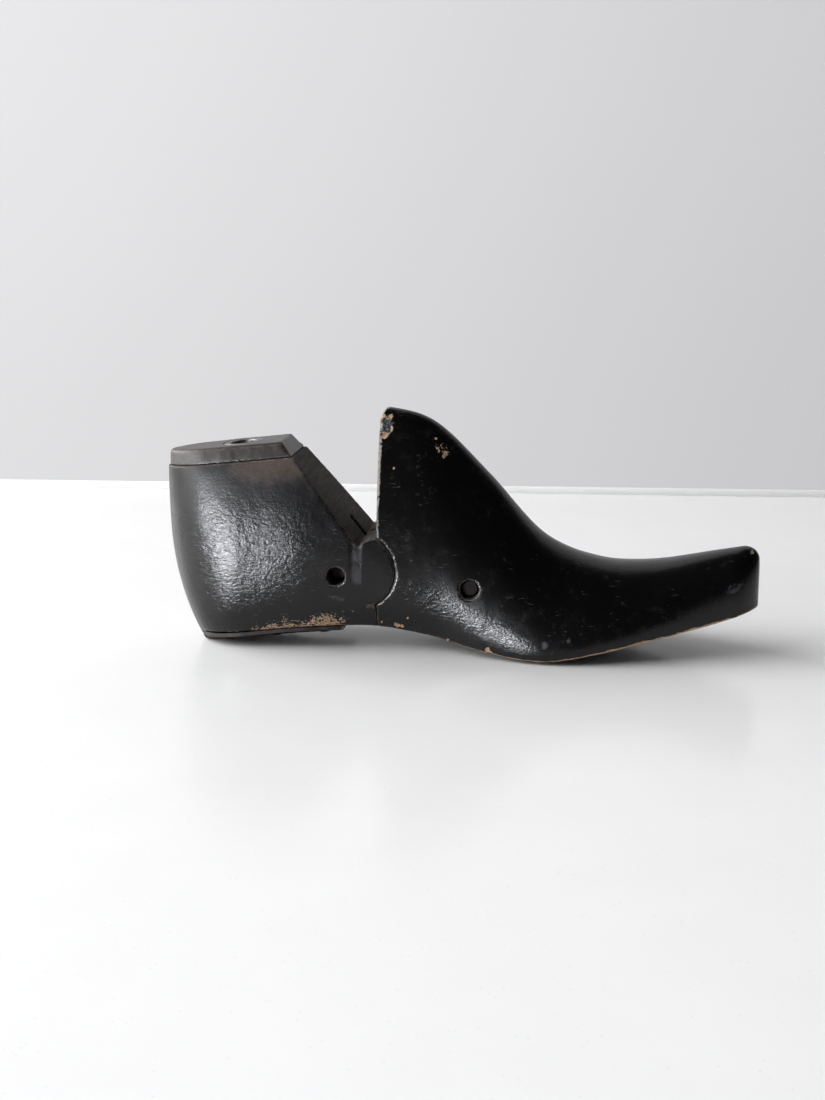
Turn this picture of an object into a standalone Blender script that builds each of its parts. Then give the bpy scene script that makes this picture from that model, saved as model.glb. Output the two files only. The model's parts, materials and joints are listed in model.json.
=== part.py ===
"""Hinged wooden shoe last: fore part and heel block joined by a sprung steel link.

Lengths in the constants are millimetres. The last lies along +X with the toe at
the +X end. It rests on the ball of the sole and on the back rim of the heel.
-Y is the inner (medial) side of the foot. The whole part is moved at the end so
that the centre of its bounding box is over the origin.
"""
import math

import bmesh
import bpy
import numpy as np
from mathutils import Matrix, Vector

MM = 0.001

# ---- overall shape of the last -------------------------------------------
LENGTH = 243.0
HEEL_BACK = 0.7          # where the back of the heel lies along the last
HEEL_ROUND = 34.0        # length over which the heel closes to its back line
HEEL_ROUND_TOP = 17.0    # the same at the top of the heel block
TOE_ROUND_IN = 11.0      # the same for the inner side of the toe
TOE_ROUND_OUT = 34.0     # and for the slanting outer side
TOE_TIP_Y = -14.0
TOE_TOP_ROUND = 7.0
BACK_LEAN = 14.5         # how far the heel's foot lies in front of its back
BACK_LEAN_TOP = 65.0
BACK_LEAN_POWER = 2.8
BACK_LEAN_FADE = 45.0
SOLE_FLAT = 8.0          # half-width of the flat middle of the sole

# One row per cross-section: where it lies along the last, then the height of
# the sole's middle, the lift of the feather edge above it, the feather edge on
# the inner and outer side, how far the inner and outer wall swing out beyond
# it, the height at which they do, and the ridge: height, side and roundness.
SECTIONS = (
    #  x     sole  lift   in     out   sw_in sw_out  rise  top    side  round
    (0.0,    1.8,  2.8, -20.5,  20.5,  7.0,  7.0,  10.0,  99.0,  0.0, 16.0),
    (30.0,   3.4,  3.4, -21.5,  22.0,  9.0,  9.0,  11.0,  99.0,  0.0, 17.0),
    (60.0,   6.6,  3.4, -22.0,  24.0, 12.0, 11.0,  14.0,  99.0,  0.0, 17.0),
    (91.0,   8.3,  2.0, -20.5,  26.0, 16.0, 12.0,  17.0,  98.0,  0.0, 14.0),
    (112.0,  5.6,  1.8, -22.8,  29.0, 13.5, 10.0,  15.0,  92.4, -1.5, 13.0),
    (135.0,  1.5,  1.7, -31.0,  34.0,  6.5,  6.5,  10.0,  70.9, -3.0, 14.0),
    (157.0,  0.0,  1.4, -37.0,  36.5,  4.0,  4.5,   8.0,  47.2, -4.0, 17.0),
    (180.0,  2.9,  2.2, -36.2,  31.0,  3.5,  4.0,   8.0,  37.6, -5.5, 19.0),
    (202.0,  7.8,  2.3, -31.8,  20.5,  3.0,  3.5,   9.0,  37.3, -8.0, 17.0),
    (223.0, 13.2,  2.0, -26.8,   7.5,  2.5,  3.0,  12.0,  41.6, -11.0, 13.0),
    (243.0, 20.0,  1.0, -23.0,  -3.0,  2.0,  2.0,  12.0,  46.0, -14.0, 9.0),
)

# ---- the cut between the two halves ---------------------------------------
KNUCKLE_X = 82.4
KNUCKLE_Z = 34.0
KNUCKLE_R = 15.5
SOCKET_R = 15.85
FACE_X = 90.4            # the fore part's flat, upright joint face
PEAK_Z = 98.0            # highest point of the fore part, behind its rounded corner
PEAK_ROUND = 4.8
KERF = 0.4               # gap of the saw cut below the knuckle
VEE_TOP = (40.2, 98.7)   # a point high on the heel block's slanting face
VEE_BOTTOM = (83.4, 43.9)
KNUCKLE_TOP = ((83.4, 43.9), (85.0, 45.9), (87.2, 46.7), (91.4, 46.7))
RELIEF_DEPTH = 3.6       # groove that runs back under the knuckle
RELIEF_HEIGHT = 1.0

# ---- link, slot and pins ----------------------------------------------------
FRONT_PIN = (128.2, 28.0)
REAR_PIN = (74.0, 31.9)
PIN_R = 3.5
PIN_HOLE_R = 3.8
FRONT_PIN_ENDS = (-25.0, 28.0)
REAR_PIN_ENDS = (-17.0, 19.0)
SLOT_WIDTH = 3.8
SLOT_SAW = (79.0, 34.0, 18.0)    # centre and radius of the round cut in the heel
LINK_THICK = 3.0
LINK_EYE_R = 7.4
LINK_WAIST = 5.2                 # half-width of the bar between the eyes
LINK_BOW = 3.0                   # how far the bar bows downward
REAR_EYE_HOLE_R = 4.1
REAR_EYE_SLACK = 0.6

# ---- top plate and thimble ------------------------------------------------
TOP_SLOPE = math.radians(5.8)
TOP_SEAT_Z = 72.9        # height of the heel block's flat top at x = 0
TOP_PLATE_THICK = 6.4
TOP_PLATE_INSET = 0.7
TOP_PLATE_ROUND = 2.2
PLATE_GAP = 0.15
THIMBLE_X = 33.0
THIMBLE_BORE_R = 5.4
THIMBLE_R = 6.6
THIMBLE_LENGTH = 38.0
THIMBLE_FLANGE_R = 8.1
THIMBLE_FLANGE_THICK = 1.1
THIMBLE_SINK = 0.12      # how far the flange lies below the plate's face
BORE_DEPTH = 46.0

# ---- heel plate ---------------------------------------------------------------
HEEL_PLATE_THICK = 1.4
SEAT_GAP = 0.45          # between the wooden heel seat and its plate
HEEL_PLATE_INSET = 0.9
HEEL_PLATE_FRONT = 75.0
NAILS = ((19.5, 0.0), (28.0, -14.0), (28.0, 14.0), (48.0, -16.5), (48.0, 17.5),
         (68.0, -15.5), (68.0, 17.5))
NAIL_R = 1.1
NAIL_HEAD_R = 2.4
NAIL_HEAD_THICK = 0.9
NAIL_LENGTH = 15.0
NAIL_GAP = 0.2

# ---- mesh density -------------------------------------------------------------
WALL_STEPS = 15
SOLE_STEPS = 8
HEEL_STATIONS = 26
FORE_STATIONS = 44

LACQUER = (0.018, 0.018, 0.020)
BARE_MAPLE = (0.105, 0.072, 0.050)
STEEL = (0.42, 0.41, 0.40)


# ---- formulas of the surface -------------------------------------------------
def section_row(x):
    """The section values at x, by a smooth curve through the rows."""
    rows = np.array(SECTIONS)
    xs = rows[:, 0]
    i = int(np.clip(np.searchsorted(xs, x) - 1, 0, len(xs) - 2))
    step = xs[i + 1] - xs[i]

    def slope(k):
        if k == 0:
            return (rows[1] - rows[0]) / (xs[1] - xs[0])
        if k == len(xs) - 1:
            return (rows[-1] - rows[-2]) / (xs[-1] - xs[-2])
        before = (rows[k] - rows[k - 1]) / (xs[k] - xs[k - 1])
        after = (rows[k + 1] - rows[k]) / (xs[k + 1] - xs[k])
        weight = (xs[k] - xs[k - 1]) / (xs[k + 1] - xs[k - 1])
        return before * (1.0 - weight) + after * weight

    t = (x - xs[i]) / step
    a = 2 * t**3 - 3 * t**2 + 1
    b = t**3 - 2 * t**2 + t
    c = -2 * t**3 + 3 * t**2
    d = t**3 - t**2
    return a * rows[i] + b * step * slope(i) + c * rows[i + 1] + d * step * slope(i + 1)


def end_round(u):
    """Quarter-circle rise from 0 to 1 as u goes from 0 to 1."""
    u = min(max(u, 0.0), 1.0)
    return math.sqrt(max(0.0, 1.0 - (1.0 - u) ** 2))


def closing(x):
    """Factors by which the inner and the outer side have closed in at x."""
    heel = end_round((x - HEEL_BACK) / HEEL_ROUND)
    inner = heel * end_round((LENGTH - x) / TOE_ROUND_IN)
    outer = heel * end_round((LENGTH - x) / TOE_ROUND_OUT)
    return inner, outer


def feather(x):
    """Side positions of the inner and outer feather edge at x."""
    row = section_row(x)
    middle = TOE_TIP_Y * max(0.0, (x - 180.0) / (LENGTH - 180.0)) ** 1.5
    inner, outer = closing(x)
    return middle + (row[3] - middle) * inner, middle + (row[4] - middle) * outer


def sole_height(x, y):
    """Height of the wooden sole at x, y."""
    row = section_row(x)
    inner, outer = feather(x)
    half = max(abs(outer if y > 0 else inner), SOLE_FLAT + 4.0)
    rise = max(0.0, abs(y) - SOLE_FLAT) / (half - SOLE_FLAT)
    return row[1] + row[2] * rise**2


def back_lean(x, z):
    """How far a point of the heel lies in front of its section."""
    if x >= BACK_LEAN_FADE or z >= BACK_LEAN_TOP:
        return 0.0
    amount = (1.0 - max(z, 0.0) / BACK_LEAN_TOP) ** BACK_LEAN_POWER
    return BACK_LEAN * amount * (1.0 - x / BACK_LEAN_FADE) ** 2


def wall(x, side):
    """Points of one side wall from the feather edge up to the ridge."""
    row = section_row(x)
    inner, outer = closing(x)
    edge_in, edge_out = feather(x)
    toe_drop = TOE_TOP_ROUND * (1.0 - end_round((LENGTH - x) / TOE_TOP_ROUND))
    ridge_z = row[8] - toe_drop
    if side < 0:
        edge, swing, shut = edge_in, row[5], inner
    else:
        edge, swing, shut = edge_out, row[6], outer
    foot = np.array([edge, sole_height(x, edge)])
    middle = TOE_TIP_Y * max(0.0, (x - 180.0) / (LENGTH - 180.0)) ** 1.5
    ridge = np.array([middle + (row[9] - middle) * shut, ridge_z])
    top_shut = shut * end_round((x - HEEL_BACK) / HEEL_ROUND_TOP) / end_round((x - HEEL_BACK) / HEEL_ROUND)
    belly = foot + np.array([side * swing * shut, row[7]])
    shoulder = ridge + np.array([side * row[10] * top_shut, 0.0])
    points = []
    for t in np.linspace(0.0, 1.0, WALL_STEPS + 1):
        s = 1.0 - t
        points.append(s**3 * foot + 3 * s * s * t * belly + 3 * s * t * t * shoulder + t**3 * ridge)
    return points


def ring(x):
    """One closed cross-section, starting at the ridge and going round by -Y."""
    inner_wall = wall(x, -1)
    outer_wall = wall(x, +1)
    yz = [tuple(p) for p in inner_wall[::-1]]
    edge_in, edge_out = inner_wall[0][0], outer_wall[0][0]
    for y in np.linspace(edge_in, edge_out, SOLE_STEPS + 1)[1:-1]:
        yz.append((y, sole_height(x, y)))
    yz.extend(tuple(p) for p in outer_wall[:-1])
    return [(x + back_lean(x, z), y, z) for y, z in yz]


def stations(x0, x1, count, ease0, ease1):
    """Positions from x0 to x1, crowded at an end whose ease is True."""
    u = np.linspace(0.0, 1.0, count)
    if ease0 and not ease1:
        u = 1.0 - np.cos(u * math.pi / 2)
    elif ease1 and not ease0:
        u = np.sin(u * math.pi / 2)
    return x0 + (x1 - x0) * u


# ---- making objects -------------------------------------------------------------
def clear_scene():
    for item in list(bpy.data.objects):
        bpy.data.objects.remove(item, do_unlink=True)
    for mesh in list(bpy.data.meshes):
        bpy.data.meshes.remove(mesh)


def new_collection(name):
    group = bpy.data.collections.new(name)
    bpy.context.scene.collection.children.link(group)
    return group


def material(name, colour, roughness, metallic):
    mat = bpy.data.materials.new(name)
    mat.use_nodes = True
    shader = mat.node_tree.nodes["Principled BSDF"]
    shader.inputs["Base Color"].default_value = (*colour, 1.0)
    shader.inputs["Roughness"].default_value = roughness
    shader.inputs["Metallic"].default_value = metallic
    mat.diffuse_color = (*colour, 1.0)
    return mat


def new_object(name, bm, group, mat=None):
    """Object from a bmesh in metres, with its faces turned outwards."""
    bmesh.ops.recalc_face_normals(bm, faces=bm.faces)
    mesh = bpy.data.meshes.new(name)
    bm.to_mesh(mesh)
    bm.free()
    obj = bpy.data.objects.new(name, mesh)
    group.objects.link(obj)
    if mat is not None:
        mesh.materials.append(mat)
    if group.name == "cutters":
        obj.hide_render = True
        obj.display_type = "WIRE"
    return obj


def freeze(obj):
    """Replace the object's mesh by what its modifiers make of it."""
    bpy.context.view_layer.update()
    graph = bpy.context.evaluated_depsgraph_get()
    mesh = bpy.data.meshes.new_from_object(obj.evaluated_get(graph))
    obj.modifiers.clear()
    old = obj.data
    obj.data = mesh
    bpy.data.meshes.remove(old)
    mesh.name = obj.name
    bm = bmesh.new()
    bm.from_mesh(mesh)
    bmesh.ops.recalc_face_normals(bm, faces=bm.faces)
    bm.to_mesh(mesh)
    bm.free()


def tidy(obj):
    """Weld the slivers that cuts leave behind."""
    bm = bmesh.new()
    bm.from_mesh(obj.data)
    bmesh.ops.remove_doubles(bm, verts=bm.verts, dist=0.00002)
    bmesh.ops.dissolve_degenerate(bm, edges=bm.edges, dist=0.00002)
    bmesh.ops.recalc_face_normals(bm, faces=bm.faces)
    bm.to_mesh(obj.data)
    bm.free()


def last_body(name, xs, group, mat=None):
    """Closed loft through the rings at xs."""
    bm = bmesh.new()
    rings = [[bm.verts.new(Vector(p) * MM) for p in ring(x)] for x in xs]
    count = len(rings[0])
    for low, high in zip(rings[:-1], rings[1:]):
        for j in range(count):
            k = (j + 1) % count
            bm.faces.new((low[j], low[k], high[k], high[j]))
    for end in (rings[0], rings[-1]):
        for j in range(WALL_STEPS - 1):
            quad = (end[j], end[j + 1], end[count - j - 1], end[(count - j) % count])
            bm.faces.new(tuple(dict.fromkeys(quad)))
        bm.faces.new(end[WALL_STEPS - 1:count - WALL_STEPS + 2])
    return new_object(name, bm, group, mat)


def prism(name, outline, y0, y1, group, mat=None):
    """Flat x-z outline thickened to reach from y0 to y1."""
    bm = bmesh.new()
    middle = (y0 + y1) / 2
    bm.faces.new([bm.verts.new(Vector((x, middle, z)) * MM) for x, z in outline])
    obj = new_object(name, bm, group, mat)
    solid = obj.modifiers.new("thickness", "SOLIDIFY")
    solid.thickness = (y1 - y0) * MM
    solid.offset = 0.0
    freeze(obj)
    return obj


def turned(name, profile, steps, group, mat=None, closed=False):
    """Profile of (radius, height) points turned about the object's own +Z axis."""
    bm = bmesh.new()
    points = [bm.verts.new(Vector((radius, 0.0, height)) * MM) for radius, height in profile]
    pairs = list(zip(points[:-1], points[1:]))
    if closed:
        pairs.append((points[-1], points[0]))
    for pair in pairs:
        bm.edges.new(pair)
    obj = new_object(name, bm, group, mat)
    screw = obj.modifiers.new("turn", "SCREW")
    screw.axis = "Z"
    screw.steps = steps
    screw.render_steps = steps
    screw.use_merge_vertices = True
    screw.merge_threshold = 0.00001
    freeze(obj)
    tidy(obj)
    return obj


def cylinder_y(name, x, z, radius, y0, y1, steps, group, mat=None):
    """Round bar along Y."""
    bm = bmesh.new()
    place_at = Matrix.Translation(Vector((x, (y0 + y1) / 2, z)) * MM) @ Matrix.Rotation(math.pi / 2, 4, "X")
    bmesh.ops.create_cone(bm, cap_ends=True, segments=steps, radius1=radius * MM, radius2=radius * MM,
                          depth=(y1 - y0) * MM, matrix=place_at)
    return new_object(name, bm, group, mat)


def box(name, low, high, group, mat=None):
    """Box between two corners."""
    bm = bmesh.new()
    size = (Vector(high) - Vector(low)) * MM
    middle = (Vector(high) + Vector(low)) / 2 * MM
    place_at = Matrix.Translation(middle) @ Matrix.Diagonal((*size, 1.0))
    bmesh.ops.create_cube(bm, size=1.0, matrix=place_at)
    return new_object(name, bm, group, mat)


def arc(x, z, radius, start, end, steps):
    """Points of an arc in the x-z plane, angles in degrees from +X towards +Z."""
    return [(x + radius * math.cos(math.radians(a)), z + radius * math.sin(math.radians(a)))
            for a in np.linspace(start, end, steps + 1)]


def apply_boolean(target, cutter, operation):
    """Cut target by cutter, or keep only what they share."""
    mod = target.modifiers.new("cut", "BOOLEAN")
    mod.operation = operation
    mod.solver = "EXACT"
    mod.object = cutter
    freeze(target)


def shade(obj, angle=35.0):
    obj.data.shade_smooth()
    obj.data.set_sharp_from_angle(angle=math.radians(angle))


# ---- outlines of the cut ----------------------------------------------------------
def knuckle_angles(radius, offset):
    """Angles at which a circle about the knuckle meets the joint face."""
    reach = FACE_X + offset - KNUCKLE_X
    return math.degrees(math.acos(reach / radius))


def fore_side():
    """Outline that covers everything in front of the cut."""
    half = knuckle_angles(SOCKET_R, 0.0)
    points = [(300.0, -30.0), (300.0, 140.0), (FACE_X + PEAK_ROUND, 140.0)]
    points += arc(FACE_X + PEAK_ROUND, PEAK_Z - PEAK_ROUND, PEAK_ROUND, 90.0, 180.0, 8)
    points += arc(KNUCKLE_X, KNUCKLE_Z, SOCKET_R, half, -half, 28)
    points.append((FACE_X, 0.0))
    points.append((FACE_X, -30.0))
    return points


def heel_side():
    """Outline that covers the heel block with its knuckle."""
    half = knuckle_angles(KNUCKLE_R, -KERF)
    points = [(-30.0, -30.0), (FACE_X - KERF, -30.0)]
    low = arc(KNUCKLE_X, KNUCKLE_Z, KNUCKLE_R, -half, half, 28)
    groove_z = low[0][1] - 0.2
    points.append((FACE_X - KERF, groove_z - RELIEF_HEIGHT))
    points.append((FACE_X - KERF - RELIEF_DEPTH, groove_z - RELIEF_HEIGHT - 0.3))
    points.append((FACE_X - KERF - RELIEF_DEPTH, groove_z - 0.4))
    points += low
    points += [p for p in KNUCKLE_TOP[::-1] if p[0] < low[-1][0] - 0.3]
    points += [VEE_TOP, (-30.0, VEE_TOP[1])]
    return points


def link_outline(x0, z0, x1, z1, eye, waist, bow):
    """Bar with round eyes at both ends that bows to one side between them."""
    length = math.hypot(x1 - x0, z1 - z0)
    turn = math.atan2(z1 - z0, x1 - x0)
    steps = 12
    top = []
    bottom = []
    for i in range(steps + 1):
        t = 0.14 + 0.72 * i / steps
        drop = -bow * math.sin(math.pi * t)
        half = waist + (eye - waist) * abs(2 * t - 1) ** 3
        top.append((t * length, drop + half))
        bottom.append((t * length, drop - half))
    rear = [(eye * math.cos(a), eye * math.sin(a))
            for a in np.linspace(math.radians(75), math.radians(285), 19)]
    front = [(length + eye * math.cos(a), eye * math.sin(a))
             for a in np.linspace(math.radians(-105), math.radians(105), 19)]
    local = rear + bottom + front + top[::-1]
    return [(x0 + u * math.cos(turn) - v * math.sin(turn),
             z0 + u * math.sin(turn) + v * math.cos(turn)) for u, v in local]


# ---- the parts --------------------------------------------------------------------
def top_frame():
    """Matrix whose x-y plane is the heel block's flat top."""
    origin = Vector((0.0, 0.0, TOP_SEAT_Z))
    return Matrix.Translation(origin * MM) @ Matrix.Rotation(-TOP_SLOPE, 4, "Y")


def thimble_frame():
    """Matrix at the top plate's upper face on the thimble's axis."""
    along = THIMBLE_X / math.cos(TOP_SLOPE)
    return top_frame() @ Matrix.Translation(Vector((along, 0.0, TOP_PLATE_THICK + PLATE_GAP)) * MM)


def place(obj, matrix):
    obj.matrix_world = matrix


def build_slot(group):
    """Saw cut in the heel block and mortise in the fore part for the link."""
    half = SLOT_WIDTH / 2
    x, z, radius = SLOT_SAW
    saw = prism("cut_slot_saw", arc(x, z, radius, 0.0, 360.0, 48)[:-1], -half, half, group)
    mouth = prism("cut_slot_mouth", [(x, 20.0), (104.0, 20.0), (104.0, 60.0), (90.0, 60.0),
                                     (84.0, 47.0), (x, 45.0)], -half, half, group)
    px, pz = FRONT_PIN
    end = arc(px, pz, LINK_EYE_R + 1.2, -90.0, 60.0, 14)
    mortise = prism("cut_mortise", [(86.0, 17.0)] + end + [(86.0, 50.0)], -half, half, group)
    return saw, mouth, mortise


def make_heel_block(group, cutters, mats, slot):
    xs = list(stations(HEEL_BACK + 0.1, 62.0, HEEL_STATIONS, True, False))
    xs += list(np.linspace(66.0, 102.0, 10))
    block = last_body("heel_block", xs, group, mats["lacquer"])
    block.data.materials.append(mats["bare"])
    keep = prism("keep_heel", heel_side(), -80.0, 80.0, cutters, mats["bare"])
    apply_boolean(block, keep, "INTERSECT")
    head = box("cut_heel_top", (-60, -80, 0), (160, 80, 60), cutters, mats["lacquer"])
    place(head, top_frame())
    apply_boolean(block, head, "DIFFERENCE")
    saw, mouth, _ = slot
    apply_boolean(block, saw, "DIFFERENCE")
    apply_boolean(block, mouth, "DIFFERENCE")
    rear = cylinder_y("cut_rear_pin", *REAR_PIN, PIN_HOLE_R, -60, 60, 32, cutters)
    apply_boolean(block, rear, "DIFFERENCE")
    bore = turned("cut_bore", [(0, -BORE_DEPTH), (THIMBLE_R + 0.2, -BORE_DEPTH),
                               (THIMBLE_R + 0.2, 10.0), (0, 10.0)], 32, cutters)
    place(bore, thimble_frame())
    apply_boolean(block, bore, "DIFFERENCE")
    for i, spot in enumerate(NAILS):
        hole = turned(f"cut_nail_{i + 1}", [(0, -3.0), (NAIL_R + NAIL_GAP, -3.0),
                                            (NAIL_R + NAIL_GAP, NAIL_LENGTH + 0.5),
                                            (0, NAIL_LENGTH + 0.5)], 10, cutters)
        place(hole, nail_frame(spot))
        apply_boolean(block, hole, "DIFFERENCE")
    tidy(block)
    shade(block)
    return block


def make_forepart(group, cutters, mats, slot):
    xs = list(np.linspace(84.0, 212.0, 32))
    xs += list(stations(214.0, LENGTH - 0.1, FORE_STATIONS - 32, False, True))
    fore = last_body("forepart", xs, group, mats["lacquer"])
    fore.data.materials.append(mats["bare"])
    keep = prism("keep_fore", fore_side(), -80.0, 80.0, cutters, mats["bare"])
    apply_boolean(fore, keep, "INTERSECT")
    apply_boolean(fore, slot[2], "DIFFERENCE")
    front = cylinder_y("cut_front_pin", *FRONT_PIN, PIN_HOLE_R, -60, 60, 32, cutters)
    apply_boolean(fore, front, "DIFFERENCE")
    tidy(fore)
    shade(fore)
    return fore


def make_top_plate(group, cutters, mats):
    """Slab on the heel block with its upper rim rounded over."""
    xs = list(stations(HEEL_BACK + 0.1, 62.0, HEEL_STATIONS, True, False))
    xs += [68.0, 76.0]
    plate = last_body("top_plate", xs, group, mats["lacquer"])
    low = box("keep_top_plate", (-60, -80, PLATE_GAP), (160, 80, PLATE_GAP + TOP_PLATE_THICK), cutters)
    place(low, top_frame())
    apply_boolean(plate, low, "INTERSECT")
    keep = prism("keep_top_front", [(-30, 40), (VEE_BOTTOM[0] - TOP_PLATE_INSET, VEE_BOTTOM[1]),
                                    (VEE_TOP[0] - TOP_PLATE_INSET, VEE_TOP[1]), (-30, VEE_TOP[1])],
                 -80, 80, cutters)
    apply_boolean(plate, keep, "INTERSECT")
    inset_walls(plate, TOP_PLATE_INSET)
    tidy(plate)
    round_top(plate)
    ledge = -THIMBLE_SINK - THIMBLE_FLANGE_THICK - 0.15
    hole = turned("cut_plate_bore", [(0, -20), (THIMBLE_R + 0.2, -20), (THIMBLE_R + 0.2, ledge),
                                     (THIMBLE_FLANGE_R + 0.25, ledge),
                                     (THIMBLE_FLANGE_R + 0.25, 10), (0, 10)], 40, cutters)
    place(hole, thimble_frame())
    apply_boolean(plate, hole, "DIFFERENCE")
    shade(plate)
    return plate


def inset_walls(plate, amount):
    """Pull the side walls in towards the plate's middle line."""
    for vert in plate.data.vertices:
        x, y = vert.co.x / MM, vert.co.y / MM
        away = Vector((min(x - THIMBLE_X, 0.0), y))
        if away.length > 1.0:
            step = away.normalized() * amount * MM
            vert.co.x -= step.x
            vert.co.y -= step.y


def round_top(plate):
    bm = bmesh.new()
    bm.from_mesh(plate.data)
    inverse = top_frame().inverted()
    level = (PLATE_GAP + TOP_PLATE_THICK) * MM
    bmesh.ops.dissolve_limit(bm, angle_limit=0.001, verts=bm.verts, edges=bm.edges)
    rim = [e for e in bm.edges
           if all(abs((inverse @ v.co).z - level) < 1e-6 for v in e.verts)
           and e.calc_face_angle(0.0) > 0.3]
    bmesh.ops.bevel(bm, geom=rim, offset=TOP_PLATE_ROUND * MM, segments=3, profile=0.6,
                    affect="EDGES", clamp_overlap=True)
    bm.to_mesh(plate.data)
    bm.free()


def make_thimble(group, mats):
    flange_high = -THIMBLE_SINK
    flange_low = flange_high - THIMBLE_FLANGE_THICK
    profile = [
        (THIMBLE_BORE_R, -THIMBLE_LENGTH),
        (THIMBLE_R, -THIMBLE_LENGTH),
        (THIMBLE_R, flange_low),
        (THIMBLE_FLANGE_R, flange_low),
        (THIMBLE_FLANGE_R, flange_high - 0.4),
        (THIMBLE_FLANGE_R - 0.4, flange_high),
        (THIMBLE_BORE_R + 0.5, flange_high),
        (THIMBLE_BORE_R, flange_high - 0.5),
    ]
    tube = turned("jack_thimble", profile, 40, group, mats["steel"], closed=True)
    place(tube, thimble_frame())
    shade(tube)
    return tube


def seat_slope():
    """Slope of the flat middle of the heel seat."""
    x0, x1 = SECTIONS[1][0], SECTIONS[2][0]
    return (SECTIONS[2][1] - SECTIONS[1][1]) / (x1 - x0)


def nail_frame(spot):
    """Matrix at the underside of the heel plate, +Z into the wood."""
    x, y = spot
    base = plate_top(x, y) - HEEL_PLATE_THICK
    tilt = math.atan(seat_slope())
    return Matrix.Translation(Vector((x, y, base)) * MM) @ Matrix.Rotation(-tilt, 4, "Y")


def plate_top(x, y):
    """Upper surface of the heel plate, just under the wooden heel seat."""
    return sole_height(max(x - back_lean_at_sole(x), 0.0), y) - SEAT_GAP


def back_lean_at_sole(x):
    """Lean of the sole's middle at the place x on the ground plan."""
    guess = x
    for _ in range(12):
        guess = x - back_lean(max(guess, 0.0), section_row(max(guess, 0.0))[1])
    return x - max(guess, 0.0)


def make_heel_plate(group, cutters, mats):
    """Cupped steel plate that follows the outline of the heel seat."""
    xs = [*stations(HEEL_BACK + 0.4, 52.0, 17, True, False), 60.0, 69.0, HEEL_PLATE_FRONT]
    across = 8
    bm = bmesh.new()
    bmesh.ops.create_grid(bm, x_segments=len(xs) - 1, y_segments=across, size=1.0)
    for vert in bm.verts:
        x = xs[round((vert.co.x + 1.0) / 2.0 * (len(xs) - 1))]
        shut = closing(x)
        edge_in = feather(x)[0] + HEEL_PLATE_INSET * shut[0]
        edge_out = feather(x)[1] - HEEL_PLATE_INSET * shut[1]
        y = edge_in + (edge_out - edge_in) * (vert.co.y + 1.0) / 2.0
        z = sole_height(x, y)
        along = x + back_lean(x, z) + HEEL_PLATE_INSET * max(0.0, 1.0 - x / 20.0)
        vert.co = Vector((along, y, z - SEAT_GAP)) * MM
    plate = new_object("heel_plate", bm, group, mats["steel"])
    if plate.data.polygons[0].normal.z < 0:
        plate.data.flip_normals()
    solid = plate.modifiers.new("thickness", "SOLIDIFY")
    solid.thickness = HEEL_PLATE_THICK * MM
    solid.offset = -1.0
    freeze(plate)
    for i, spot in enumerate(NAILS):
        hole = turned(f"cut_plate_nail_{i + 1}", nail_profile(NAIL_GAP), 16, cutters)
        place(hole, nail_frame(spot))
        apply_boolean(plate, hole, "DIFFERENCE")
    tidy(plate)
    shade(plate)
    return plate


def nail_profile(gap):
    """Half-profile of a nail; with a gap it is the hole, which runs out past the head."""
    start = -1.5 if gap else 0.15
    return [
        (0.0, start),
        (NAIL_HEAD_R + gap, start),
        (NAIL_HEAD_R + gap, 0.3 + gap),
        (NAIL_R + gap, NAIL_HEAD_THICK + gap),
        (NAIL_R + gap, NAIL_LENGTH - 3.0),
        (0.0, NAIL_LENGTH + gap),
    ]


def make_nails(group, mats):
    nails = []
    for i, spot in enumerate(NAILS):
        nail = turned(f"heel_plate_nail_{i + 1}", nail_profile(0.0), 14, group, mats["steel"])
        place(nail, nail_frame(spot))
        shade(nail)
        nails.append(nail)
    return nails


def make_pin(name, spot, ends, group, mats):
    """Steel pin along Y with chamfered ends."""
    length = ends[1] - ends[0]
    profile = [(0, length), (PIN_R - 0.6, length), (PIN_R, length - 0.6),
               (PIN_R, 0.6), (PIN_R - 0.6, 0), (0, 0)]
    pin = turned(name, profile, 32, group, mats["steel"])
    x, z = spot
    place(pin, Matrix.Translation(Vector((x, ends[0], z)) * MM) @ Matrix.Rotation(-math.pi / 2, 4, "X"))
    shade(pin)
    return pin


def make_link(group, cutters, mats):
    half = LINK_THICK / 2
    outline = link_outline(*REAR_PIN, *FRONT_PIN, LINK_EYE_R, LINK_WAIST, LINK_BOW)
    link = prism("spring_link", outline, -half, half, group, mats["steel"])
    front = cylinder_y("cut_front_eye", *FRONT_PIN, PIN_R + 0.3, -20, 20, 32, cutters)
    apply_boolean(link, front, "DIFFERENCE")
    turn = math.atan2(FRONT_PIN[1] - REAR_PIN[1], FRONT_PIN[0] - REAR_PIN[0])
    slot = []
    for side, start in ((1, -90.0), (-1, 90.0)):
        for a in np.linspace(start, start + 180.0, 15):
            u = side * REAR_EYE_SLACK + REAR_EYE_HOLE_R * math.cos(math.radians(a))
            v = REAR_EYE_HOLE_R * math.sin(math.radians(a))
            slot.append((REAR_PIN[0] + u * math.cos(turn) - v * math.sin(turn),
                         REAR_PIN[1] + u * math.sin(turn) + v * math.cos(turn)))
    rear = prism("cut_rear_eye", slot, -20, 20, cutters)
    apply_boolean(link, rear, "DIFFERENCE")
    tidy(link)
    shade(link)
    return link


def joint_empty(name, spot, group, pieces):
    """Empty on a joint's axis that carries the pieces turning about it."""
    empty = bpy.data.objects.new(name, None)
    empty.empty_display_size = 0.01
    empty.location = Vector((spot[0], 0.0, spot[1])) * MM
    group.objects.link(empty)
    bpy.context.view_layer.update()
    for piece in pieces:
        piece.parent = empty
        piece.matrix_parent_inverse = empty.matrix_world.inverted()
    return empty


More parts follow.
